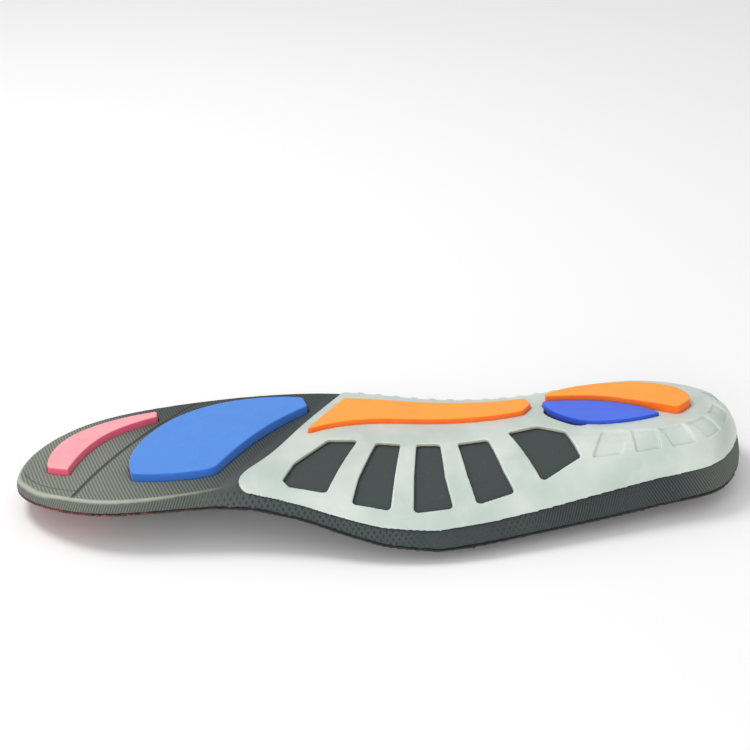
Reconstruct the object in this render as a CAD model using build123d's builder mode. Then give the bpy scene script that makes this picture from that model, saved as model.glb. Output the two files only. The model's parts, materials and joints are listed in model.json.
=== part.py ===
"""Cushioned arch-support insole for a left foot, lying with its underside up.

The insole is drawn in the frame of its sole: z = 0 is the flat underside, +Z points
out of the sole, the foot is on the -Z side, the toe points to -X, the heel to +X and
the inner (arch) side to -Y.  At the end every piece is turned together into the pose
in which the insole rests on a floor with its underside up.  Millimetres throughout.
"""
import os
from math import sqrt

from build123d import *

os.makedirs("parts", exist_ok=True)

# ---- overall size: the pattern below is graded to this length and width ----
LENGTH = 278.0              # toe edge to heel edge
WIDTH = 116.0               # arch edge to outer forefoot edge
PATTERN_LENGTH = 278.0      # the size that the pattern is drawn in
PATTERN_WIDTH = 116.0

# ---- depth of the rim below the sole plane ----
FORE_RIM = 5.8              # in the forefoot, where the insole is a flat sheet
INNER_RIM = 24.5            # along the arch and the inner heel
OUTER_RIM = 17.5            # along the outer heel
INNER_RISE = (-64, 15)      # the inner rim deepens between these two places
OUTER_RISE = (-20, 55)      # and the outer rim between these
INNER_LINE = -45            # where the two rim lines run, across the insole
OUTER_LINE = 72

# ---- layers ----
FOAM_BED = 5.0              # foam under the arch and heel
RIM_WALL = 2.4              # foam at the rim of the arch and heel cup
COVER = 1.0                 # top cover, which runs over the rim to the outer edge
COVER_TRIM = 0.15           # its cut edge lies this far inside the foam's
SHELL = 1.6                 # wall of the arch shell
SHELL_PROUD = 0.6           # shell above the sole plane
SHELL_OUT = 0.4             # shell outside the foam's side wall
INNER_BARE = (5.5, 7.5, 11.5)   # foam left bare under the shell: before, along, behind the arch
ARCH_BARE_RISE = (-30, 10)      # the first change runs between these two places
HEEL_BARE_RISE = (25, 120)      # and the second between these
OUTER_BARE = (3.4, 9.0)     # the same on the outer side, at a low and at a high rim
OUTER_BARE_RIM = (5.8, 18)  # those low and high rims
FLATTEST_TURN = 0.5         # least depth over which a wall turns down

# ---- pads ----
HEEL_PAD_SPLIT = 0.5        # between the two heel pads
SEAT = 1.5                  # depth of the seats in the forefoot foam
TOE_PAD_PROUD = 2.5         # pads' height over the foam
FOREFOOT_PAD_PROUD = 3.0
MIDFOOT_PAD_PROUD = 2.0     # over the shell, like the two below
OUTER_HEEL_PAD_PROUD = 3.0
INNER_HEEL_PAD_PROUD = 1.3

# ---- arch cushion between foam and cover ----
CUSHION = 3.0

# ---- windows in the arch wall of the shell, cut square to the slope of the wall ----
WINDOW_TILT = 30
WINDOW_CORNER = 1.6

# ---- shallow square marks round the heel of the shell ----
MARK_COUNT = 6
MARK_WIDTH = 9.4
MARK_DEPTH = 0.8
MARK_PITCH = 23.8           # degrees round the heel
FIRST_MARK = -119
MARK_INSET = 0.7            # from the sole edge to the marks
MARK_FOOT = 4.2             # depth of the marks' lower edge

# ---- ribs along the outer edge of the shell ----
RIB_COUNT = 12
RIB_PITCH = 6.8
RIB_WIDTH = 2.0
RIB_OUT = 1.1               # outside the shell's wall
FIRST_RIB = 0.0
RIB_START = 25              # the inner side of the ribs, across the pattern
RIB_INSET = 0.8             # the ribs start this far inside the sole edge

# ---- flex groove across the toe ----
GROOVE_WIDTH = 0.9
GROOVE_DEPTH = 0.8

# ---- reach of the solids that only cut or trim others ----
DEEP = 45                   # bottom of the body's blank, below every rim
DEEPER = 50                 # bottom of what is taken out of it
OVER = 10                   # above every pad
HALF_SPAN = 100             # to each side of the insole
CUT_PLACES = (-160, -110, -85, -64, -50, -35, -20, -5, 15, 35, 55, 75, 100, 130, 165)
LEVELS = (0, 0.4, 1.5, 3.2, 5.6, 8.6, 12, 16, 20, 24.5)

# Sole edge and, straight out from it, the rim edge, counted round from the toe
STATIONS = (
    ((-135, 20), (-137, 20)), ((-129.5, 41), (-131, 42)), ((-111, 62), (-112, 64)),
    ((-80, 71), (-80, 73)), ((-45, 71), (-45, 73.5)), ((-8, 61), (-5, 66)),
    ((20, 43), (22, 56)), ((48, 32), (49, 49)), ((75, 33), (77, 48)),
    ((100, 36), (103, 48)), ((118, 29), (126, 39)), ((130, 11), (141, 14)),
    ((125, -3), (135, -9.5)), ((115, -10), (123, -24)), ((100, -12), (104, -29)),
    ((76, -6), (77, -34)), ((48, 4), (48, -39)), ((16, 9.5), (16, -42.5)), ((-14, 6.5), (-14, -37)),
    ((-38, -3), (-40, -27.5)), ((-58, -14.5), (-60, -22.5)), ((-80, -17), (-80, -20)),
    ((-103, -14), (-104, -16)), ((-122, -3), (-123.5, -4.5)), ((-131.5, 8), (-133.5, 7.5)),
)
RESTS_ON = ((16, -42.5), (-80, 73), (126, 39))      # the three rim places that touch the floor
HEEL_CENTRE = (100, 12)


def grade(x, y):
    """A place on the pattern, graded to the insole's length and width."""
    return Vector(x * LENGTH / PATTERN_LENGTH, y * WIDTH / PATTERN_WIDTH)


def graded(*places):
    """Several places on the pattern, graded."""
    return [grade(*place) for place in places]


def blend(value, start, end):
    """Smooth change from 0 at start to 1 at end."""
    share = min(max((value - start) / (end - start), 0), 1)
    return share * share * (3 - 2 * share)


def rim_lines(x):
    """Depth of the inner and the outer rim line at a place along the pattern."""
    inner = FORE_RIM + (INNER_RIM - FORE_RIM) * blend(x, *INNER_RISE)
    outer = FORE_RIM + (OUTER_RIM - FORE_RIM) * blend(x, *OUTER_RISE)
    return inner, outer


def foam_lines(x):
    """The same for the foam, which stops one cover short of the rim."""
    return [rim - COVER for rim in rim_lines(x)]


def shell_lines(x):
    """The same for the shell's lower edge, which leaves a band of foam bare."""
    inner, outer = rim_lines(x)
    front, arch, heel = INNER_BARE
    low, high = OUTER_BARE
    inner -= front + (arch - front) * blend(x, *ARCH_BARE_RISE)
    inner -= (heel - arch) * blend(x, *HEEL_BARE_RISE)
    outer -= low + (high - low) * blend(outer, *OUTER_BARE_RIM)
    return inner, outer


def depth_at(lines, x, y):
    """Depth at a place on the pattern, in a straight line across from rim to rim."""
    inner, outer = lines(x)
    return inner + (outer - inner) * (y - INNER_LINE) / (OUTER_LINE - INNER_LINE)


def wall_outline(drop, inset, depth):
    """Outline of a skin at one depth, drop under the sole and inset inside the side wall.

    From the sole edge the skin turns down to the rim in a quarter of an ellipse.
    """
    points = []
    for sole, rim in STATIONS:
        turn = max(depth_at(rim_lines, *rim) - drop, FLATTEST_TURN)
        start, end = graded(sole, rim)
        share = min(max((depth - drop) / turn, 0), 1)
        reach = sqrt(1 - (1 - share) ** 2)
        points.append(start + (end - start) * reach - (end - start).normalized() * inset)
    return points


def skin(drop, inset, bottom):
    """Solid inside one skin, from its flat top down to a flat bottom below every rim."""
    with BuildPart() as solid:
        for level in LEVELS + (bottom,):
            depth = drop + level * (bottom - drop) / bottom
            with BuildSketch(Plane.XY.offset(-depth)):
                with BuildLine():
                    Spline(*wall_outline(drop, inset, depth), periodic=True)
                make_face()
        loft(ruled=True)
    return solid.part


def above(lines):
    """Everything over the surface that runs from rim to rim at the depth of these lines."""
    with BuildPart() as solid:
        for x in CUT_PLACES:
            near, far = graded((x, -HALF_SPAN), (x, HALF_SPAN))
            near_depth = depth_at(lines, x, -HALF_SPAN)
            far_depth = depth_at(lines, x, HALF_SPAN)
            with BuildSketch(Plane.YZ.offset(near.X)):
                with BuildLine():
                    Polyline((near.Y, -near_depth), (far.Y, -far_depth),
                             (far.Y, OVER), (near.Y, OVER), close=True)
                make_face()
        loft(ruled=True)
    return solid.part


# ---- outlines of the pads, in the sole plane ----
HEEL_SEAM = ((114, -2.5), (107, 4.2), (99, 10.5), (90, 17), (80, 21.2), (69, 24))

with BuildSketch() as toe_outline:
    with BuildLine():
        outer = Spline(*graded((-83, 61), (-102, 56.5), (-117, 45.5), (-124, 30), (-124.5, 17)))
        inner = Spline(*graded((-116.5, 12.3), (-110, 31.5), (-101.3, 44.4), (-92.5, 51), (-83, 55.3)))
        Line(outer @ 1, inner @ 0)
        Line(inner @ 1, outer @ 0)
    make_face()
    fillet(toe_outline.vertices().group_by(Axis.X)[0], 3)
    fillet(toe_outline.vertices().group_by(Axis.X)[-1], 0.8)

with BuildSketch() as forefoot_outline:
    with BuildLine():
        outer = Spline(*graded((-92.3, 0), (-93.7, 13), (-87.5, 34), (-75, 51),
                               (-57, 60.5), (-39, 61), (-24, 56)))
        Line(outer @ 1, grade(-23, 46))
        inner = Spline(*graded((-23, 46), (-40, 30), (-53.5, 11), (-62, -4)))
        Spline(*graded((-62, -4), (-77, -4.2), (-92.3, 0)))
    make_face()
    fillet(forefoot_outline.vertices().sort_by(Axis.Y)[1:], 2.5)
    fillet(forefoot_outline.vertices().sort_by(Axis.Y)[0], 6)

with BuildSketch() as midfoot_outline:
    with BuildLine():
        Line(grade(-27, 21.5), grade(-8, 51))
        Spline(*graded((-8, 51), (8, 43.5), (25, 34.5), (45, 28.5), (61.5, 27.5)))
        Polyline(*graded((61.5, 27.5), (62.5, 21), (58, 15)))
        Spline(*graded((58, 15), (40, 14), (22, 17.5), (2, 24.5), (-13, 26), (-27, 21.5)))
    make_face()
    fillet(midfoot_outline.vertices(), 1)

with BuildSketch() as outer_heel_outline:
    with BuildLine():
        rear = Spline(*graded((69, 26.5), (80, 30.3), (97, 30), (111, 25), (120.5, 15), (120.5, 3)))
        seam = Spline(*graded(*HEEL_SEAM))
        Line(rear @ 1, seam @ 0)
        Line(seam @ 1, rear @ 0)
    make_face()
    fillet(outer_heel_outline.vertices().sort_by(Axis.Y)[:2], 2)

with BuildSketch() as inner_heel_outline:
    with BuildLine():
        beside_seam = [grade(x, y) - Vector(0, HEEL_PAD_SPLIT) for x, y in HEEL_SEAM[2:]]
        Spline(grade(107.5, -1.5), *beside_seam)
        low = Spline(*graded((107.5, -1.5), (99, -3.4), (90, -3.6), (80, -1.2), (73, 5.2),
                             (68.3, 14), (67, 22.5)))
        Line(low @ 1, beside_seam[-1])
    make_face()
    fillet(inner_heel_outline.vertices(), 0.7)

with BuildSketch() as heel_opening:
    add(outer_heel_outline.sketch)
    add(inner_heel_outline.sketch)
    with BuildLine():       # the split between the two pads
        Polyline(*[grade(x, y + 0.3) for x, y in HEEL_SEAM[2:]],
                 *[grade(x, y - 1) for x, y in reversed(HEEL_SEAM[2:])], close=True)
    make_face()
    with BuildLine():       # a gap at the front end of the inner pad
        Spline(*graded((70, 22), (66.2, 15), (70.6, 4.4), (77.5, -1.7), (84, 5), (78, 16)),
               periodic=True)
    make_face()

WINDOW_PLANE = Plane.XY.rotated((WINDOW_TILT, 0, 0))
WINDOWS = (
    ((-38, -13), (-32.5, -2), (-18, 12.9), (-7, 9.6), (-16.7, -9.3), (-23, -22), (-36, -17)),
    ((-0.5, 6), (8.2, 2.6), (2.6, -18), (-1.3, -33.3), (-14.6, -28.3), (-10.3, -15.7)),
    ((14, 1), (22.6, -1), (20.8, -21), (21.2, -35.4), (6.8, -35.4), (9.7, -19)),
    ((29, -2), (40.6, -2), (42.4, -21.3), (44.5, -31.6), (30, -34.9), (29, -21.7)),
    ((48.8, 1), (60.8, 3), (69.7, -3.9), (71.7, -19.8), (55.3, -28.5), (52.2, -15)),
)

with BuildSketch() as cushion_outline:
    with BuildLine():
        Spline(*graded((-62, 20), (-30, 42), (10, 34), (30, 12), (8, -14), (-34, -12)),
               periodic=True)
    make_face()


def pad(outline, seat, proud):
    """Pad that stands proud of the level 0, on a seat below it."""
    with BuildPart() as solid:
        with BuildSketch(Plane.XY.offset(-seat)):
            add(outline.sketch)
        extrude(amount=seat + proud)
    return solid


shell_floor = SHELL - SHELL_PROUD       # the foam's level under the shell
toe_pad = pad(toe_outline, SEAT, TOE_PAD_PROUD)
forefoot_pad = pad(forefoot_outline, SEAT, FOREFOOT_PAD_PROUD)
midfoot_pad = pad(midfoot_outline, shell_floor, SHELL_PROUD + MIDFOOT_PAD_PROUD)
heel_pad_outer = pad(outer_heel_outline, shell_floor, SHELL_PROUD + OUTER_HEEL_PAD_PROUD)
heel_pad_inner = pad(inner_heel_outline, shell_floor, SHELL_PROUD + INNER_HEEL_PAD_PROUD)

# ---- space that the shell may fill: behind its front edge, over its lower edge ----
with BuildPart() as shell_space:
    with BuildSketch(Plane.XY.offset(-DEEP)):
        with BuildLine():
            front = Spline(*graded((6, 84), (-8, 61), (-28, 30), (-45, 2.5), (-53.5, -11),
                                   (-53, -17.5), (-45, -24), (-38, -32)))
            Polyline(front @ 1, *graded((-38, -HALF_SPAN), (160, -HALF_SPAN), (160, 84)),
                     front @ 0)
        make_face()
    extrude(amount=DEEP + OVER)
    add(above(shell_lines), mode=Mode.INTERSECT)
    add(skin(shell_floor, SHELL - SHELL_OUT, DEEPER), mode=Mode.SUBTRACT)

# ---- what is cut into the shell and put on it ----
with BuildPart() as heel_marks:
    with BuildSketch(Plane.XY.offset(-DEEP)):
        with BuildLine():
            Spline(*wall_outline(0, 0, MARK_FOOT), periodic=True)
        make_face()
        with BuildLine():
            Spline(*wall_outline(0, -MARK_INSET, 0), periodic=True)
        make_face(mode=Mode.SUBTRACT)
        with Locations(grade(*HEEL_CENTRE)):
            with PolarLocations(HALF_SPAN / 2, MARK_COUNT, FIRST_MARK, MARK_COUNT * MARK_PITCH):
                Rectangle(HALF_SPAN, MARK_WIDTH, mode=Mode.INTERSECT)
    extrude(amount=DEEP + OVER)
    add(skin(MARK_DEPTH - SHELL_PROUD, MARK_DEPTH - SHELL_OUT, DEEPER), mode=Mode.SUBTRACT)

with BuildPart() as edge_ribs:
    with BuildSketch(Plane.XY.offset(-DEEP)):
        for rib in range(RIB_COUNT):
            with Locations(grade(FIRST_RIB + rib * RIB_PITCH, RIB_START)):
                Rectangle(RIB_WIDTH, HALF_SPAN, align=(Align.CENTER, Align.MIN))
        with BuildLine():
            Spline(*wall_outline(0, RIB_INSET, 0), periodic=True)
        make_face(mode=Mode.SUBTRACT)
    extrude(amount=DEEP + OVER)
    add(skin(-SHELL_PROUD, -SHELL_OUT - RIB_OUT, DEEP), mode=Mode.INTERSECT)
    add(shell_space.part, mode=Mode.INTERSECT)

with BuildPart() as arch_shell:
    add(skin(-SHELL_PROUD, -SHELL_OUT, DEEP))
    add(shell_space.part, mode=Mode.INTERSECT)
    for corners in WINDOWS:
        with BuildSketch(WINDOW_PLANE) as window:
            with BuildLine():
                Polyline(*graded(*corners), close=True)
            make_face()
            fillet(window.vertices(), WINDOW_CORNER)
        extrude(amount=DEEP, both=True, mode=Mode.SUBTRACT)
    with BuildSketch(Plane.XY.offset(-DEEP)):
        add(midfoot_outline.sketch)
        add(heel_opening.sketch)
    extrude(amount=DEEP + OVER, mode=Mode.SUBTRACT)
    add(heel_marks.part, mode=Mode.SUBTRACT)
    add(edge_ribs.part)

# ---- foam, before anything is set into it ----
with BuildPart() as foam_blank:
    add(skin(0, 0, DEEP))
    add(above(foam_lines), mode=Mode.INTERSECT)
    add(skin(FOAM_BED, RIM_WALL, DEEPER), mode=Mode.SUBTRACT)

# ---- arch cushion, in the foot side of the foam ----
with BuildPart() as arch_cushion:
    with BuildSketch(Plane.XY.offset(-DEEP)):
        add(cushion_outline.sketch)
    extrude(amount=DEEP)
    add(skin(FOAM_BED - CUSHION, RIM_WALL, DEEP), mode=Mode.INTERSECT)
    add(foam_blank.part, mode=Mode.INTERSECT)

# ---- foam base ----
with BuildPart() as foam_base:
    add(foam_blank.part)
    add(shell_space.part, mode=Mode.SUBTRACT)
    add(arch_cushion.part, mode=Mode.SUBTRACT)
    with BuildSketch(Plane.XY.offset(-SEAT)):
        add(toe_outline.sketch)
        add(forefoot_outline.sketch)
    extrude(amount=SEAT + OVER, mode=Mode.SUBTRACT)
    with BuildSketch(Plane.XY.offset(-GROOVE_DEPTH)):
        with BuildLine() as groove_line:
            ThreePointArc(*graded((-115, -10.5), (-102.6, 18.8), (-86, 46.5)))
        trace(line_width=GROOVE_WIDTH)
    extrude(amount=GROOVE_DEPTH + OVER, mode=Mode.SUBTRACT)

# ---- top cover, on the foot side of everything ----
with BuildPart() as top_cover:
    add(skin(0, COVER_TRIM, DEEP))
    add(above(rim_lines), mode=Mode.INTERSECT)
    add(skin(FOAM_BED + COVER, RIM_WALL + COVER, DEEPER), mode=Mode.SUBTRACT)
    add(foam_blank.part, mode=Mode.SUBTRACT)

# ---- laying the insole down on the floor, underside up ----
arch, forefoot, heel = [grade(*place) - Vector(0, 0, depth_at(rim_lines, *place))
                        for place in RESTS_ON]
floor_normal = (forefoot - arch).cross(heel - arch).normalized()
floor_normal *= 1 if floor_normal.Z > 0 else -1
floor = Plane(arch, x_dir=(Vector(1, 0, 0) - floor_normal * floor_normal.X), z_dir=floor_normal)

pieces = {
    "top_cover": top_cover, "foam_base": foam_base, "arch_shell": arch_shell,
    "arch_cushion": arch_cushion, "toe_pad": toe_pad, "forefoot_pad": forefoot_pad,
    "midfoot_pad": midfoot_pad, "heel_pad_outer": heel_pad_outer,
    "heel_pad_inner": heel_pad_inner,
}
laid = {name: floor.to_local_coords(piece.part) for name, piece in pieces.items()}
box = Compound(list(laid.values())).bounding_box()
home = Location((-box.center().X, -box.center().Y, -box.min.Z))
for name, piece in laid.items():
    piece = piece.moved(home)
    piece.label = name
    export_step(piece, f"parts/{name}.step")
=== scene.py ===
"""Looks of a cushioned arch-support insole that lies with its underside up.

Every visible CAD node is replaced by a finer piece made from the node's own mesh, so each
piece keeps the place and size that the CAD gives it. Metres throughout.
"""

import json
import math

import bmesh
import bpy
import numpy as np
from mathutils import Matrix, Vector


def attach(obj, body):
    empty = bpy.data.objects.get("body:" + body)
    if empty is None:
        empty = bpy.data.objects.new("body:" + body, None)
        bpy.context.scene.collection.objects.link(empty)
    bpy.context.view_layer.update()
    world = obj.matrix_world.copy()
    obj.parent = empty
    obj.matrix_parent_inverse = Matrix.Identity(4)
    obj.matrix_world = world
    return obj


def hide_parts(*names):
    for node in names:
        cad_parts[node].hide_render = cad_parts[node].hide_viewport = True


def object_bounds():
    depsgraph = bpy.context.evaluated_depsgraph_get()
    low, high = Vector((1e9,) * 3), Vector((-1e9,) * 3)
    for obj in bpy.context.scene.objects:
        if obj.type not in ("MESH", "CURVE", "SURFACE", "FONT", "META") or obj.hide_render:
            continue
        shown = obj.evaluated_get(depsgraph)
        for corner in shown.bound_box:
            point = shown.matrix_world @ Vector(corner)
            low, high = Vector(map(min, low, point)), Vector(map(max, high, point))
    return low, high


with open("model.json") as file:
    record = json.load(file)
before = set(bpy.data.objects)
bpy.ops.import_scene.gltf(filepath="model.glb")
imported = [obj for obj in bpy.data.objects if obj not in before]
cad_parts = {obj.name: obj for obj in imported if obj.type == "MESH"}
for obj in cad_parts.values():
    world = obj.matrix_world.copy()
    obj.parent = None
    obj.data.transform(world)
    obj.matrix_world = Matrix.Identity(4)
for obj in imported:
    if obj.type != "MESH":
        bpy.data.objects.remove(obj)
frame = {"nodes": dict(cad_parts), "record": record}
cad_low, cad_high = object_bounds()
nodes = frame["nodes"]

MM = 0.001
TINY = 1e-12

# ---- sizes that part.py gives these shapes, for placing patterns on them ----
HEEL_SEAT = (0.1007, 0.01795, 0.0036)       # the heel seat's mount in the sole's frame
FORE_RIM, INNER_RIM, OUTER_RIM = 0.0058, 0.0245, 0.0175
INNER_RISE, OUTER_RISE = (-0.064, 0.015), (-0.020, 0.055)
INNER_LINE, OUTER_LINE = -0.045, 0.072
INNER_BARE = (0.0055, 0.0075, 0.0115)
ARCH_BARE_RISE, HEEL_BARE_RISE = (-0.030, 0.010), (0.025, 0.120)
OUTER_BARE, OUTER_BARE_RIM = (0.0034, 0.0090), (0.0058, 0.018)
STATIONS = (        # millimetres: sole edge and rim edge, round from the toe
    ((-135, 20), (-137, 20)), ((-129.5, 41), (-131, 42)), ((-111, 62), (-112, 64)),
    ((-80, 71), (-80, 73)), ((-45, 71), (-45, 73.5)), ((-8, 61), (-5, 66)),
    ((20, 43), (22, 56)), ((48, 32), (49, 49)), ((75, 33), (77, 48)),
    ((100, 36), (103, 48)), ((118, 29), (126, 39)), ((130, 11), (141, 14)),
    ((125, -3), (135, -9.5)), ((115, -10), (123, -24)), ((100, -12), (104, -29)),
    ((76, -6), (77, -34)), ((48, 4), (48, -39)), ((16, 9.5), (16, -42.5)), ((-14, 6.5), (-14, -37)),
    ((-38, -3), (-40, -27.5)), ((-58, -14.5), (-60, -22.5)), ((-80, -17), (-80, -20)),
    ((-103, -14), (-104, -16)), ((-122, -3), (-123.5, -4.5)), ((-131.5, 8), (-133.5, 7.5)),
)
CUSHION_OUTLINE = ((-62, 20), (-50, 33), (-30, 42), (-8, 40), (10, 34), (22, 24), (30, 12),
                   (24, -6), (8, -14), (-14, -15), (-34, -12), (-52, 0))
CUSHION_SWELL = 0.0012                              # of the soft cushion under the cover
CUSHION_SLOPE = 0.009                               # from its edge to its full thickness
GROOVE_CENTRE, GROOVE_RADIUS = (0.1024, -0.0852), 0.2299      # the flex groove
TRIM_CENTRE, TRIM_RADIUS = (-0.1027, 0.0274), 0.0316      # a trim line at the toe

# ---- where the foam's patterns change, in the sole's frame: the start and end of each change ----
SHELL_FRONT_NORMAL = (0.85, -0.52)              # across the shell's front edge
SHELL_FRONT = (-0.0460, -0.0425)                # the line of that edge
SHELL_FOOT = (-0.0006, 0.0004)                  # over the shell's lower edge
FORE_WALL = (0.0009, 0.0016)                    # outside the sole edge, in the forefoot
TREAD_EDGE = (-0.0002, 0.0003)                  # inside it
TREAD_DEPTH = 0.0006
KNURL_START, KNURL_END = (-0.078, -0.050), (0.030, 0.065)
KNURL_SIDE = 0.02
PLAIN_START, PLAIN_END = (0.0, 0.012), (0.03, 0.045)    # a nearly plain stretch of wall
# the toe and heel are painted paler, less so on the far side: partly painted light, partly the
# foam's own paler tone
TOE_PALE, HEEL_PALE = (-0.118, -0.035), (0.100, 0.132)
FAR_SIDE, FAR_START = (0.030, 0.066), (-0.125, -0.080)
PALE_SOLE = 0.0012                              # the paler top ends this far out
# painted highlight: the rounded bead round the forefoot edge is painted paler
BEAD_START, BEAD_END = (-0.0004, 0.0002), (0.0007, 0.0013)      # a bead round the forefoot
BEAD_DEPTH = 0.0035

# ---- relief of the foam: pitch, and how far the lines lean ----
RIB_PITCH, RIB_SLANT = 1.25 * MM, 0.22
WALL_PITCH, WALL_LEAN = 1.05 * MM, 0.45
HEEL_WALL_PITCH, HEEL_WALL_LEAN = 1.15 * MM, -0.55
KNURL_PITCH, KNURL_LEAN = 2.2 * MM, 0.80

# ---- camera, seen from the inner side, a little above ----
VIEW_ELEVATION = 27.46
VIEW_AZIMUTH = -7.26
VIEW_ROLL = -1.14
VIEW_DISTANCE = 0.675
VIEW_TARGET = Vector((0.0061, 0.0658, 0.012))
SENSOR_MM, LENS_MM = 36, 76.8
CLIP = (0.01, 20)

# ---- lights and floor ----
SURROUND_STRENGTH = 0.64
LIGHTS_AIM_AT = Vector((0, 0.01, 0.01))
LIGHTS = (                  # name, place, size, power in watts
    ("key_light", (-0.40, 0.30, 0.90), 0.40, 4.4),
    ("front_light", (-0.15, -0.95, 0.22), 0.60, 3.4),
    ("side_light", (-0.75, -0.55, 0.40), 0.25, 0.8),
)
FLOOR_SIZE, FLOOR_GAP = 8, 0.00005
FLOOR_WHITE = 0.95


def rgb(red, green, blue):
    return (red, green, blue, 1)


# ---- pads: the material's top colour, paler partly as painted light from above and partly as its moulded skin, its side and deeper colour, and what each pad is ----
PAD_COLORS = {
    "pink_foam": (rgb(0.93, 0.365, 0.405), rgb(0.88, 0.120, 0.215), rgb(0.80, 0.200, 0.270)),
    "blue_foam": (rgb(0.045, 0.235, 0.740), rgb(0.030, 0.160, 0.600), rgb(0.035, 0.180, 0.640)),
    "orange_foam": (rgb(1.000, 0.350, 0.016), rgb(0.980, 0.150, 0.006), rgb(0.950, 0.270, 0.010)),
    "deep_blue_foam": (rgb(0.040, 0.135, 0.800), rgb(0.020, 0.080, 0.560),
                       rgb(0.025, 0.095, 0.640)),
}
PADS = (                    # node, piece, slot, material, crown
    ("toe_pad", "toe_cushion", "pink_pad", "pink_foam", 0.10 * MM),
    ("forefoot_pad", "forefoot_cushion", "blue_pad", "blue_foam", 0.25 * MM),
    ("midfoot_pad", "midfoot_cushion", "orange_pad", "orange_foam", 0.15 * MM),
    ("heel_pad_outer", "outer_heel_cushion", "orange_pad", "orange_foam", 0.15 * MM),
    ("heel_pad_inner", "inner_heel_cushion", "deep_blue_pad", "deep_blue_foam", 0.10 * MM),
)
PAD_GAP = 0.12 * MM         # between a pad and the edge of its seat
PAD_CROWN_DEPTH = (-0.002, -0.0005)     # the crown fades out under the pad's top


def place_camera():
    """Camera above the inner side, aimed just behind the insole."""
    data = bpy.data.cameras.new("camera")
    data.sensor_width, data.lens = SENSOR_MM, LENS_MM
    data.clip_start, data.clip_end = CLIP
    camera = bpy.data.objects.new("camera", data)
    bpy.context.collection.objects.link(camera)
    elevation, azimuth = math.radians(VIEW_ELEVATION), math.radians(VIEW_AZIMUTH)
    back = Vector((math.sin(azimuth) * math.cos(elevation),
                   -math.cos(azimuth) * math.cos(elevation), math.sin(elevation)))
    camera.location = VIEW_TARGET + back * VIEW_DISTANCE
    turn = (-back).to_track_quat("-Z", "Y").to_matrix().to_4x4()
    roll = Matrix.Rotation(math.radians(VIEW_ROLL), 4, "Z")
    camera.rotation_euler = (turn @ roll).to_euler()
    bpy.context.scene.camera = camera


def area_light(name, place, size, power):
    data = bpy.data.lights.new(name, "AREA")
    data.shape, data.size, data.energy = "DISK", size, power
    light = bpy.data.objects.new(name, data)
    light.location = place
    light.rotation_euler = (LIGHTS_AIM_AT - Vector(place)).to_track_quat("-Z", "Y").to_euler()
    bpy.context.collection.objects.link(light)


def light_scene():
    """Soft round lights and an even white surround, with the colours shown as they are."""
    world = bpy.data.worlds.new("surround")
    world.use_nodes = True
    background = world.node_tree.nodes["Background"]
    background.inputs["Color"].default_value = rgb(1, 1, 1)
    background.inputs["Strength"].default_value = SURROUND_STRENGTH
    bpy.context.scene.world = world
    for light in LIGHTS:
        area_light(*light)
    bpy.context.scene.view_settings.view_transform = "Standard"


def make_floor():
    bpy.ops.mesh.primitive_plane_add(size=FLOOR_SIZE, location=(0, 0, cad_low.z - FLOOR_GAP))
    floor = bpy.context.object
    floor.name = "floor"
    material = bpy.data.materials.new("floor_white")
    material.use_nodes = True
    shader = material.node_tree.nodes["Principled BSDF"]
    shader.inputs["Base Color"].default_value = rgb(FLOOR_WHITE, FLOOR_WHITE, FLOOR_WHITE)
    shader.inputs["Roughness"].default_value = 0.8
    floor.data.materials.append(material)


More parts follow.
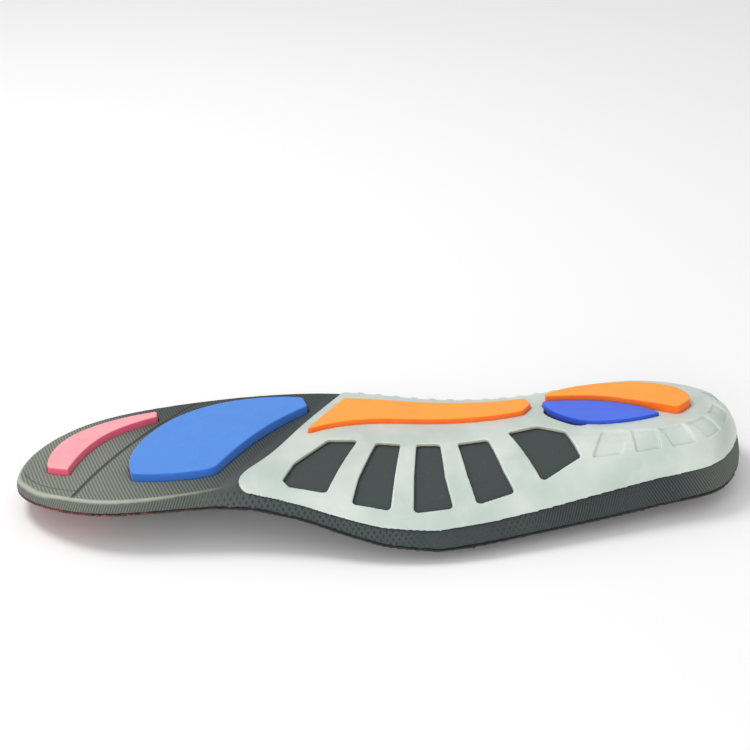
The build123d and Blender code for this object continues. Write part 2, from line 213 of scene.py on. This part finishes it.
# ---- node-tree helper ----
class Nodes:
    """Short calls for building one material's node tree."""

    def __init__(self, name):
        self.material = bpy.data.materials.new(name)
        self.material.use_nodes = True
        self.tree = self.material.node_tree
        self.shader = self.tree.nodes["Principled BSDF"]
        self.place = self.in_sole_frame(self.add("ShaderNodeTexCoord").outputs["Object"])
        self.normal = self.add("ShaderNodeNewGeometry").outputs["Normal"]

    def in_sole_frame(self, place):
        """A place on the piece, as it is in the sole's frame."""
        moved = self.add("ShaderNodeVectorMath", operation="SUBTRACT")
        self.plug(moved.inputs[0], place)
        moved.inputs[1].default_value = SOLE.translation
        axes = self.add("ShaderNodeCombineXYZ")
        for socket, axis in zip(axes.inputs, SOLE.to_3x3().col):
            self.plug(socket, self.along(moved.outputs[0], axis))
        return axes.outputs[0]

    def add(self, kind, **settings):
        node = self.tree.nodes.new(kind)
        for key, value in settings.items():
            setattr(node, key, value)
        return node

    def plug(self, socket, value):
        if isinstance(value, bpy.types.NodeSocket):
            self.tree.links.new(value, socket)
        else:
            socket.default_value = value

    def math(self, operation, first, second=0.0, third=None):
        node = self.add("ShaderNodeMath", operation=operation)
        self.plug(node.inputs[0], first)
        self.plug(node.inputs[1], second)
        if third is not None:
            self.plug(node.inputs[2], third)
        return node.outputs[0]

    def along(self, vector, direction):
        """How far a vector reaches along a direction."""
        node = self.add("ShaderNodeVectorMath", operation="DOT_PRODUCT")
        self.plug(node.inputs[0], vector)
        node.inputs[1].default_value = direction
        return node.outputs["Value"]

    def noise(self, size, detail=2.0, stretch=None, distortion=0.0):
        """Noise from 0 to 1, with features of about this size in metres."""
        node = self.add("ShaderNodeTexNoise")
        node.inputs["Scale"].default_value = 1 / size
        node.inputs["Detail"].default_value = detail
        node.inputs["Distortion"].default_value = distortion
        source = self.place
        if stretch:
            mapping = self.add("ShaderNodeMapping")
            self.plug(mapping.inputs["Vector"], source)
            mapping.inputs["Scale"].default_value = stretch
            source = mapping.outputs["Vector"]
        self.plug(node.inputs["Vector"], source)
        return node.outputs["Fac"]

    def range(self, value, low, high, to_low=0.0, to_high=1.0):
        """Smooth change from one value at low to another at high."""
        node = self.add("ShaderNodeMapRange", interpolation_type="SMOOTHSTEP")
        self.plug(node.inputs["Value"], value)
        node.inputs["From Min"].default_value = low
        node.inputs["From Max"].default_value = high
        node.inputs["To Min"].default_value = to_low
        node.inputs["To Max"].default_value = to_high
        return node.outputs["Result"]

    def mix(self, share, first, second):
        """Mixes two colours."""
        node = self.add("ShaderNodeMix", data_type="RGBA")
        self.plug(node.inputs["Factor"], share)
        self.plug(node.inputs["A"], first)
        self.plug(node.inputs["B"], second)
        return node.outputs["Result"]

    def mix_value(self, share, first, second):
        node = self.add("ShaderNodeMix", data_type="FLOAT")
        self.plug(node.inputs["Factor"], share)
        self.plug(node.inputs["A"], first)
        self.plug(node.inputs["B"], second)
        return node.outputs["Result"]

    def wave(self, value, pitch):
        """Wave from 0 to 1 along a value in metres."""
        phase = self.math("MULTIPLY", value, 2 * math.pi / pitch)
        return self.math("MULTIPLY_ADD", self.math("SINE", phase), 0.5, 0.5)

    def mask(self, name):
        """A number that the mesh keeps at its corners."""
        return self.add("ShaderNodeAttribute", attribute_name=name).outputs["Fac"]

    def arc_line(self, centre, radius, width):
        """1 on a thin arc in the sole plane, 0 off it."""
        flat = self.add("ShaderNodeVectorMath", operation="MULTIPLY")
        self.plug(flat.inputs[0], self.place)
        flat.inputs[1].default_value = (1, 1, 0)
        gap = self.add("ShaderNodeVectorMath", operation="DISTANCE")
        self.plug(gap.inputs[0], flat.outputs[0])
        gap.inputs[1].default_value = (*centre, 0)
        off = self.math("ABSOLUTE", self.math("SUBTRACT", gap.outputs["Value"], radius))
        return self.range(off, width, width * 0.35)

    def bump(self, height, depth, normal=None):
        node = self.add("ShaderNodeBump")
        node.inputs["Distance"].default_value = depth
        self.plug(node.inputs["Height"], height)
        if normal is not None:
            self.plug(node.inputs["Normal"], normal)
        return node.outputs["Normal"]

    def finish(self, color, roughness, normal, **constants):
        """Plugs in what varies, and sets what is the same all over on its own socket."""
        self.plug(self.shader.inputs["Base Color"], color)
        self.plug(self.shader.inputs["Roughness"], roughness)
        self.plug(self.shader.inputs["Normal"], normal)
        for name, value in constants.items():
            self.shader.inputs[name.replace("_", " ")].default_value = value
        return self.material


# ---- the sole's own frame: +Z out of the sole, toe to -X, arch side to -Y ----
def sole_matrix():
    """Matrix from the sole's frame to the row frame, from the heel seat's mount."""
    seat = frame["record"]["mounts"][0]
    normal = Vector(seat["axis"]).normalized()
    along = Vector((normal.z, 0, -normal.x)).normalized()
    across = normal.cross(along)
    origin = (Vector(seat["pos_m"]) - along * HEEL_SEAT[0] - across * HEEL_SEAT[1]
              - normal * HEEL_SEAT[2])
    turn = Matrix((along, across, normal)).transposed().to_4x4()
    return Matrix.Translation(origin) @ turn


SOLE = sole_matrix()
SOLE_NORMAL = SOLE.to_3x3().col[2].copy()


# ---- places on the sole, in its own frame ----
def smooth(value, start, end):
    """Smooth change from 0 at start to 1 at end."""
    share = np.clip((value - start) / (end - start), 0, 1)
    return share * share * (3 - 2 * share)


def between(value, rise, fall):
    """1 between two smooth changes, 0 outside them."""
    return smooth(value, *rise) * (1 - smooth(value, *fall))


def shell_depth(x, y):
    """Depth of the shell's lower edge under the sole plane."""
    inner = FORE_RIM + (INNER_RIM - FORE_RIM) * smooth(x, *INNER_RISE)
    outer = FORE_RIM + (OUTER_RIM - FORE_RIM) * smooth(x, *OUTER_RISE)
    front, arch, heel = INNER_BARE
    low, high = OUTER_BARE
    inner -= front + (arch - front) * smooth(x, *ARCH_BARE_RISE)
    inner -= (heel - arch) * smooth(x, *HEEL_BARE_RISE)
    outer -= low + (high - low) * smooth(outer, *OUTER_BARE_RIM)
    return inner + (outer - inner) * (y - INNER_LINE) / (OUTER_LINE - INNER_LINE)


def closed_line(places, steps=10):
    """A smooth closed line through some places, as many short runs."""
    places = np.array(places) * MM
    before, after, beyond = (np.roll(places, shift, 0) for shift in (1, -1, -2))
    line = []
    for step in range(steps):
        t = step / steps
        line.append(0.5 * (2 * places + (after - before) * t
                           + (2 * before - 5 * places + 4 * after - beyond) * t ** 2
                           + (3 * places - before - 3 * after + beyond) * t ** 3))
    return np.stack(line, 1).reshape(-1, 2)


def against_line(x, y, line):
    """Distance outside a closed line, negative inside, and the distance run along it."""
    nearest, run_there = np.full(len(x), 1.0), np.zeros(len(x))
    crossings, run = np.zeros(len(x), bool), 0.0
    for start, end in zip(line, np.roll(line, -1, 0)):
        step = end - start
        length = np.hypot(*step)
        share = np.clip(((x - start[0]) * step[0] + (y - start[1]) * step[1]) / length ** 2, 0, 1)
        gap = np.hypot(x - start[0] - share * step[0], y - start[1] - share * step[1])
        nearer = gap < nearest
        nearest = np.where(nearer, gap, nearest)
        run_there = np.where(nearer, run + share * length, run_there)
        straddles = (start[1] > y) != (end[1] > y)
        reach = start[0] + (y - start[1]) * step[0] / (step[1] or TINY)
        crossings ^= straddles & (x < reach)
        run += length
    return np.where(crossings, -nearest, nearest), run_there


def over_cushion(places):
    """1 over the soft cushion, 0 beside it, for each place."""
    outside, _ = against_line(*places[:, :2].T, closed_line(CUSHION_OUTLINE, 4))
    return smooth(-outside, 0, CUSHION_SLOPE)


# ---- pieces from the CAD nodes ----
def node_mesh(node):
    """The node's mesh in the sole's frame, with its corners joined."""
    body = bmesh.new()
    body.from_mesh(nodes[node].data)
    bmesh.ops.remove_doubles(body, verts=body.verts, dist=MM / 1000)
    bmesh.ops.transform(body, matrix=SOLE.inverted(), verts=body.verts)
    mesh = bpy.data.meshes.new(node)
    body.to_mesh(mesh)
    body.free()
    return mesh


def apply_modifiers(piece):
    """Puts the piece's modifiers into its mesh."""
    graph = bpy.context.evaluated_depsgraph_get()
    graph.update()
    mesh = bpy.data.meshes.new_from_object(piece.evaluated_get(graph))
    piece.modifiers.clear()
    piece.data = mesh


def make_piece(node, name, voxel, rounds, keep=None):
    """A finer, closed piece with soft edges, in the place of a CAD node.

    The mesh is made of voxels of this size and smoothed for some rounds, and a share of
    its faces is kept.
    """
    piece = bpy.data.objects.new(name, node_mesh(node))
    bpy.context.collection.objects.link(piece)
    remesh = piece.modifiers.new("remesh", "REMESH")
    remesh.mode, remesh.voxel_size, remesh.use_smooth_shade = "VOXEL", voxel, True
    soften = piece.modifiers.new("soften", "SMOOTH")
    soften.factor, soften.iterations = 0.5, rounds
    if keep:
        piece.modifiers.new("thin", "DECIMATE").ratio = keep
    apply_modifiers(piece)
    piece.data.shade_smooth()
    return piece


def corner_rows(piece, what):
    """One row of three numbers for each corner of a piece, in the sole's frame."""
    rows = np.empty(len(piece.data.vertices) * 3)
    piece.data.vertices.foreach_get(what, rows)
    return rows.reshape(-1, 3)


def corners(piece):
    return corner_rows(piece, "co")


def corner_normals(piece):
    return corner_rows(piece, "normal")


def put_corners(piece, places):
    piece.data.vertices.foreach_set("co", places.ravel())
    piece.data.update()


def paint(piece, name, values):
    """Keeps one number for each corner, for the material to read."""
    layer = piece.data.attributes.new(name, "FLOAT", "POINT")
    layer.data.foreach_set("value", np.asarray(values, np.float32))


def finish_piece(piece, node, material):
    """Moves the piece's mesh into the row frame, gives it its material, hides the CAD node it
    stands for and hangs it on the root body.
    """
    piece.data.transform(SOLE)
    piece.data.materials.clear()
    piece.data.materials.append(material)
    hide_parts(node)
    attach(piece, "root")


# ---- materials ----
def foam_material():
    """Moulded grey foam: ribs across the sole, ribs and knurl on the side walls."""
    n = Nodes("moulded_foam")
    axes = n.add("ShaderNodeSeparateXYZ")
    n.plug(axes.inputs[0], n.place)
    x, y, z = axes.outputs
    tread, wall, run = n.mask("tread"), n.mask("wall"), n.mask("run")
    knurl, tone_and_light_paleness, bead_highlight = n.mask("knurl"), n.mask("tone_and_light_paleness"), n.mask("bead_highlight")

    waver = n.math("MULTIPLY", n.math("SUBTRACT", n.noise(9 * MM, 1), 0.5), 0.4 * MM)
    ribs = n.wave(n.math("ADD", n.math("MULTIPLY_ADD", y, RIB_SLANT, x), waver), RIB_PITCH)
    wall_ribs = n.wave(n.math("MULTIPLY_ADD", z, WALL_LEAN, run), WALL_PITCH)
    heel_ribs = n.wave(n.math("MULTIPLY_ADD", z, HEEL_WALL_LEAN, run), HEEL_WALL_PITCH)
    lattice = n.math("MAXIMUM",
                     n.wave(n.math("MULTIPLY_ADD", z, KNURL_LEAN, run), KNURL_PITCH),
                     n.wave(n.math("MULTIPLY_ADD", z, -KNURL_LEAN, run), KNURL_PITCH))
    plain_wall = n.mix_value(n.range(x, 0.075, 0.10), wall_ribs, heel_ribs)
    wall_relief = n.mix_value(knurl, plain_wall, lattice)

    groove = n.arc_line(GROOVE_CENTRE, GROOVE_RADIUS, 0.95 * MM)
    groove = n.math("MULTIPLY", groove, n.range(y, -0.0085, -0.0070))
    trim = n.arc_line(TRIM_CENTRE, TRIM_RADIUS, 0.3 * MM)
    trim = n.math("MULTIPLY", trim, n.math("MULTIPLY", n.range(x, -0.1120, -0.1135),
                                           n.range(y, 0.024, 0.018)))
    lines = n.math("MULTIPLY", n.math("MAXIMUM", groove, n.math("MULTIPLY", trim, 0.6)), tread)
    show_ribs = n.math("MULTIPLY", tread, n.math("SUBTRACT", 1.0, lines))

    relief = n.math("ADD", n.math("MULTIPLY", ribs, show_ribs),
                    n.math("MULTIPLY", wall_relief, wall))
    depth = n.math("SUBTRACT", relief, n.math("MULTIPLY", lines, 3.0))
    grain = n.noise(0.35 * MM, 3)
    normal = n.bump(depth, 0.22 * MM)
    normal = n.bump(grain, 0.05 * MM, normal)

    patches = n.noise(14 * MM, 2)
    # both foam colours turn paler towards the toe and heel: partly painted light, partly the foam's
    # own paler tone
    light = n.mix(tone_and_light_paleness, rgb(0.052, 0.066, 0.066), rgb(0.285, 0.315, 0.262))
    trough_shade = n.mix(tone_and_light_paleness, rgb(0.019, 0.026, 0.028), rgb(0.135, 0.150, 0.122))
    # painted shade: the colour darkens in the troughs of the ribs and knurl and lightens on their
    # crests, with random tone patches added
    trough_shade_and_patches = n.math("ADD", relief, n.math("MULTIPLY", n.math("SUBTRACT", patches, 0.5), 0.25))
    patterned = n.math("MINIMUM", n.math("ADD", show_ribs, wall), 1.0)
    trough_shade_and_patches = n.mix_value(patterned, 0.72, trough_shade_and_patches)
    color = n.mix(trough_shade_and_patches, trough_shade, light)
    # painted highlight on the rounded bead round the forefoot edge
    color = n.mix(n.math("MULTIPLY", bead_highlight, tone_and_light_paleness), color, rgb(0.420, 0.440, 0.350))
    # painted shade in the flex groove and the trim line
    color = n.mix(n.math("MULTIPLY", lines, 0.85), color, rgb(0.030, 0.040, 0.042))
    specks = n.range(n.noise(0.6 * MM, 2), 0.62, 0.78)
    color = n.mix(n.math("MULTIPLY", specks, 0.15), color, rgb(0.30, 0.31, 0.28))
    return n.finish(color, n.range(grain, 0.3, 0.7, 0.62, 0.78), normal,
                    Specular_IOR_Level=0.35)


def shell_material():
    """Milky translucent plastic with a soft sheen."""
    n = Nodes("milky_plastic")
    cloud = n.noise(28 * MM, 2)
    flow = n.noise(7 * MM, 2, stretch=(1, 0.35, 1))
    color = n.mix(n.range(cloud, 0.35, 0.65), rgb(0.500, 0.585, 0.535), rgb(0.610, 0.670, 0.620))
    color = n.mix(n.math("MULTIPLY", n.range(flow, 0.5, 0.75), 0.25), color,
                  rgb(0.760, 0.810, 0.760))
    # painted light: a cream glow on the cut sides of the windows that face out and down, standing
    # in for light through the translucent plastic
    cut_edge_glow = n.mask("cut_edge_glow")
    color = n.mix(n.math("MULTIPLY", cut_edge_glow, 0.75), color, rgb(0.640, 0.640, 0.480))
    pores = n.noise(0.5 * MM, 2)
    ripple = n.noise(5 * MM, 1)
    normal = n.bump(ripple, 0.10 * MM)
    normal = n.bump(pores, 0.008 * MM, normal)
    rough = n.mix_value(n.noise(11 * MM, 2), 0.30, 0.44)
    return n.finish(color, rough, normal, Subsurface_Weight=0.35, Subsurface_Scale=0.0025,
                    Subsurface_Radius=(1.0, 1.0, 0.9), Coat_Weight=0.12, Coat_Roughness=0.3)


def pad_material(name, top, side, deep):
    """Matte foam pad, paler on the top than on its cut sides: partly painted light from above,
    partly the moulded skin.
    """
    n = Nodes(name)
    top_light_and_skin = n.along(n.normal, SOLE_NORMAL)
    cells = n.noise(0.5 * MM, 3)
    clouds = n.noise(9 * MM, 2)
    # paler top than sides: partly painted light from above, partly the moulded skin
    face = n.mix(n.range(top_light_and_skin, 0.35, 0.9), side, top)
    face = n.mix(n.math("MULTIPLY", n.range(clouds, 0.35, 0.7), 0.22), face, deep)
    face = n.mix(n.math("MULTIPLY", n.range(cells, 0.52, 0.75), 0.20), face, deep)
    normal = n.bump(cells, 0.05 * MM)
    normal = n.bump(n.noise(2.5 * MM, 2), 0.08 * MM, normal)
    return n.finish(face, n.range(cells, 0.3, 0.7, 0.55, 0.72), normal,
                    Specular_IOR_Level=0.4, Sheen_Weight=0.15, Sheen_Roughness=0.5)


def cushion_material():
    """Soft open foam."""
    n = Nodes("open_foam")
    cells = n.noise(0.8 * MM, 3)
    color = n.mix(n.range(cells, 0.35, 0.65), rgb(0.30, 0.30, 0.27), rgb(0.52, 0.52, 0.47))
    return n.finish(color, 0.9, n.bump(cells, 0.2 * MM))


def cover_material():
    """Fine black knit with a printed abstract pattern in red and white."""
    n = Nodes("printed_knit")
    axes = n.add("ShaderNodeSeparateXYZ")
    n.plug(axes.inputs[0], n.place)
    x, y, z = axes.outputs
    columns = n.wave(y, 0.9 * MM)
    slant = n.wave(n.math("MULTIPLY_ADD", columns, 0.35 * MM, x), 0.7 * MM)
    stitches = n.math("MULTIPLY", n.math("POWER", columns, 0.5), slant)

    near_ends = n.math("MAXIMUM", n.range(x, -0.085, -0.118), n.range(x, 0.015, 0.085))
    on_bed = n.range(z, -0.0105, -0.0080)
    flames = n.noise(26 * MM, 2, stretch=(0.55, 1.25, 1), distortion=1.6)
    red = n.range(n.math("MULTIPLY_ADD", near_ends, 0.26, flames), 0.655, 0.670)
    red = n.math("MULTIPLY", red, on_bed)
    blots = n.noise(9 * MM, 1, distortion=0.8)
    white = n.math("MULTIPLY", n.range(blots, 0.655, 0.67), n.range(x, 0.03, 0.05))
    white = n.math("MULTIPLY", white, on_bed)
    shade = n.noise(12 * MM, 2, distortion=0.7)
    reds = n.mix(n.range(shade, 0.42, 0.60), rgb(0.33, 0.008, 0.010), rgb(0.72, 0.030, 0.030))
    reds = n.mix(n.math("MULTIPLY", n.range(shade, 0.60, 0.72), 0.5), reds,
                 rgb(0.90, 0.42, 0.38))
    color = n.mix(red, rgb(0.012, 0.012, 0.014), reds)
    color = n.mix(white, color, rgb(0.62, 0.60, 0.58))
    edge = n.mask("edge")
    tufts = n.math("MULTIPLY", n.range(n.noise(1.2 * MM, 2), 0.45, 0.62),
                   n.range(x, -0.060, -0.095))
    rim = n.mix(tufts, rgb(0.050, 0.052, 0.052), rgb(0.420, 0.110, 0.100))
    color = n.mix(edge, color, rim)
    # painted shade: the colour darkens between the stitches
    color = n.mix(n.math("MULTIPLY", n.math("SUBTRACT", 1.0, stitches), 0.45), color,
                  rgb(0.006, 0.006, 0.007))
    fuzz = n.noise(0.25 * MM, 3)
    normal = n.bump(stitches, 0.18 * MM)
    normal = n.bump(fuzz, 0.06 * MM, normal)
    return n.finish(color, n.range(fuzz, 0.3, 0.7, 0.8, 0.95), normal,
                    Specular_IOR_Level=0.2, Sheen_Weight=0.3, Sheen_Roughness=0.4)


# ---- the pieces ----
def make_foam():
    """Foam base, with the places of its patterns marked for the material."""
    foam = make_piece("foam_base", "foam_body", voxel=0.75 * MM, rounds=5)
    x, y, z = corners(foam).T
    outside, _ = against_line(x, y, closed_line([sole for sole, rim in STATIONS]))
    _, run = against_line(x, y, closed_line([rim for sole, rim in STATIONS]))
    depth = -z
    past_front = x * SHELL_FRONT_NORMAL[0] + y * SHELL_FRONT_NORMAL[1]
    behind_front = smooth(past_front, *SHELL_FRONT)
    below_shell = smooth(depth - shell_depth(x, y), *SHELL_FOOT)
    wall = np.where(behind_front > 0.5, below_shell, smooth(outside, *FORE_WALL))
    tread = smooth(-outside, *TREAD_EDGE) * (1 - behind_front) * (depth < TREAD_DEPTH)
    at_arch = between(x, KNURL_START, KNURL_END) * (y < KNURL_SIDE)
    fade = 1 - 0.7 * between(x, PLAIN_START, PLAIN_END) * (y < 0)
    toe = 1 - smooth(x, *TOE_PALE)
    far = smooth(y, *FAR_SIDE) * smooth(x, *FAR_START)
    # paler toe and heel: partly painted light, partly the foam's own paler tone
    tone_and_light_pale = np.maximum(toe * (1 - 0.8 * far) * 0.95, 0.62 * smooth(x, *HEEL_PALE))
    tone_and_light_pale = np.where(outside > PALE_SOLE, tone_and_light_pale * 0.62, tone_and_light_pale)
    # where the painted highlight on the rounded forefoot edge goes
    bead_highlight = between(outside, BEAD_START, BEAD_END) * (depth < BEAD_DEPTH) * (1 - behind_front)
    paint(foam, "run", run)
    paint(foam, "wall", wall * fade)
    paint(foam, "tread", tread)
    paint(foam, "knurl", at_arch)
    paint(foam, "tone_and_light_paleness", tone_and_light_pale)
    paint(foam, "bead_highlight", bead_highlight)
    finish_piece(foam, "foam_base", foam_material())
    return foam


def make_shell():
    """Plastic shell, with the cut sides of its windows that face out and down marked for a painted
    glow of light through the plastic.
    """
    shell = make_piece("arch_shell", "shell_wall", voxel=0.30 * MM, rounds=7, keep=0.36)
    x, y, z = corners(shell).T
    _, normal_y, normal_z = corner_normals(shell).T
    in_windows = between(x, (-0.042, -0.038), (0.073, 0.076))
    facing_out = smooth(-0.866 * normal_y - 0.5 * normal_z, 0.45, 0.8)
    # painted light: marks the window cuts that face out and down for the cream glow
    paint(shell, "cut_edge_glow", in_windows * facing_out * (z > -0.007) * (y < 0.015))
    finish_piece(shell, "arch_shell", shell_material())


def make_pad(node, name, material, crown):
    """Foam pad with rounded edges, a slight crown and a thin gap round it."""
    pad = make_piece(node, name, voxel=0.45 * MM, rounds=4)
    places = corners(pad)
    places[:, :2] -= corner_normals(pad)[:, :2] * PAD_GAP
    x, y, z = places.T
    centre_x, centre_y, _ = places.mean(0)
    across = np.hypot((x - centre_x) / (np.ptp(x) / 2), (y - centre_y) / (np.ptp(y) / 2))
    at_top = smooth(z - z.max(), *PAD_CROWN_DEPTH)
    places[:, 2] += crown * np.clip(1 - across ** 2, 0, 1) * at_top
    put_corners(pad, places)
    pad.data.shade_smooth()
    finish_piece(pad, node, material)


def make_arch_cushion():
    """Hidden cushion, swollen on its foot side."""
    cushion = make_piece("arch_cushion", "cushion_core", voxel=1.0 * MM, rounds=4)
    places = corners(cushion)
    foot_side = corner_normals(cushion)[:, 2] < -0.3
    places[:, 2] -= CUSHION_SWELL * over_cushion(places) * foot_side
    put_corners(cushion, places)
    finish_piece(cushion, "arch_cushion", cushion_material())


def make_cover():
    """Knitted top cover, raised where the arch cushion lies under it."""
    cover = make_piece("top_cover", "knit_cover", voxel=0.55 * MM, rounds=2, keep=0.35)
    places = corners(cover)
    places[:, 2] -= CUSHION_SWELL * over_cushion(places)
    put_corners(cover, places)
    cover.data.shade_smooth()
    paint(cover, "edge", smooth(np.hypot(*corner_normals(cover)[:, :2].T), 0.45, 0.75))
    finish_piece(cover, "top_cover", cover_material())


place_camera()
light_scene()
make_floor()
foam = make_foam()
make_shell()
pad_materials = {name: pad_material(name, *colors) for name, colors in PAD_COLORS.items()}
for node, name, slot, material, crown in PADS:
    make_pad(node, name, pad_materials[material], crown)
make_arch_cushion()
make_cover()
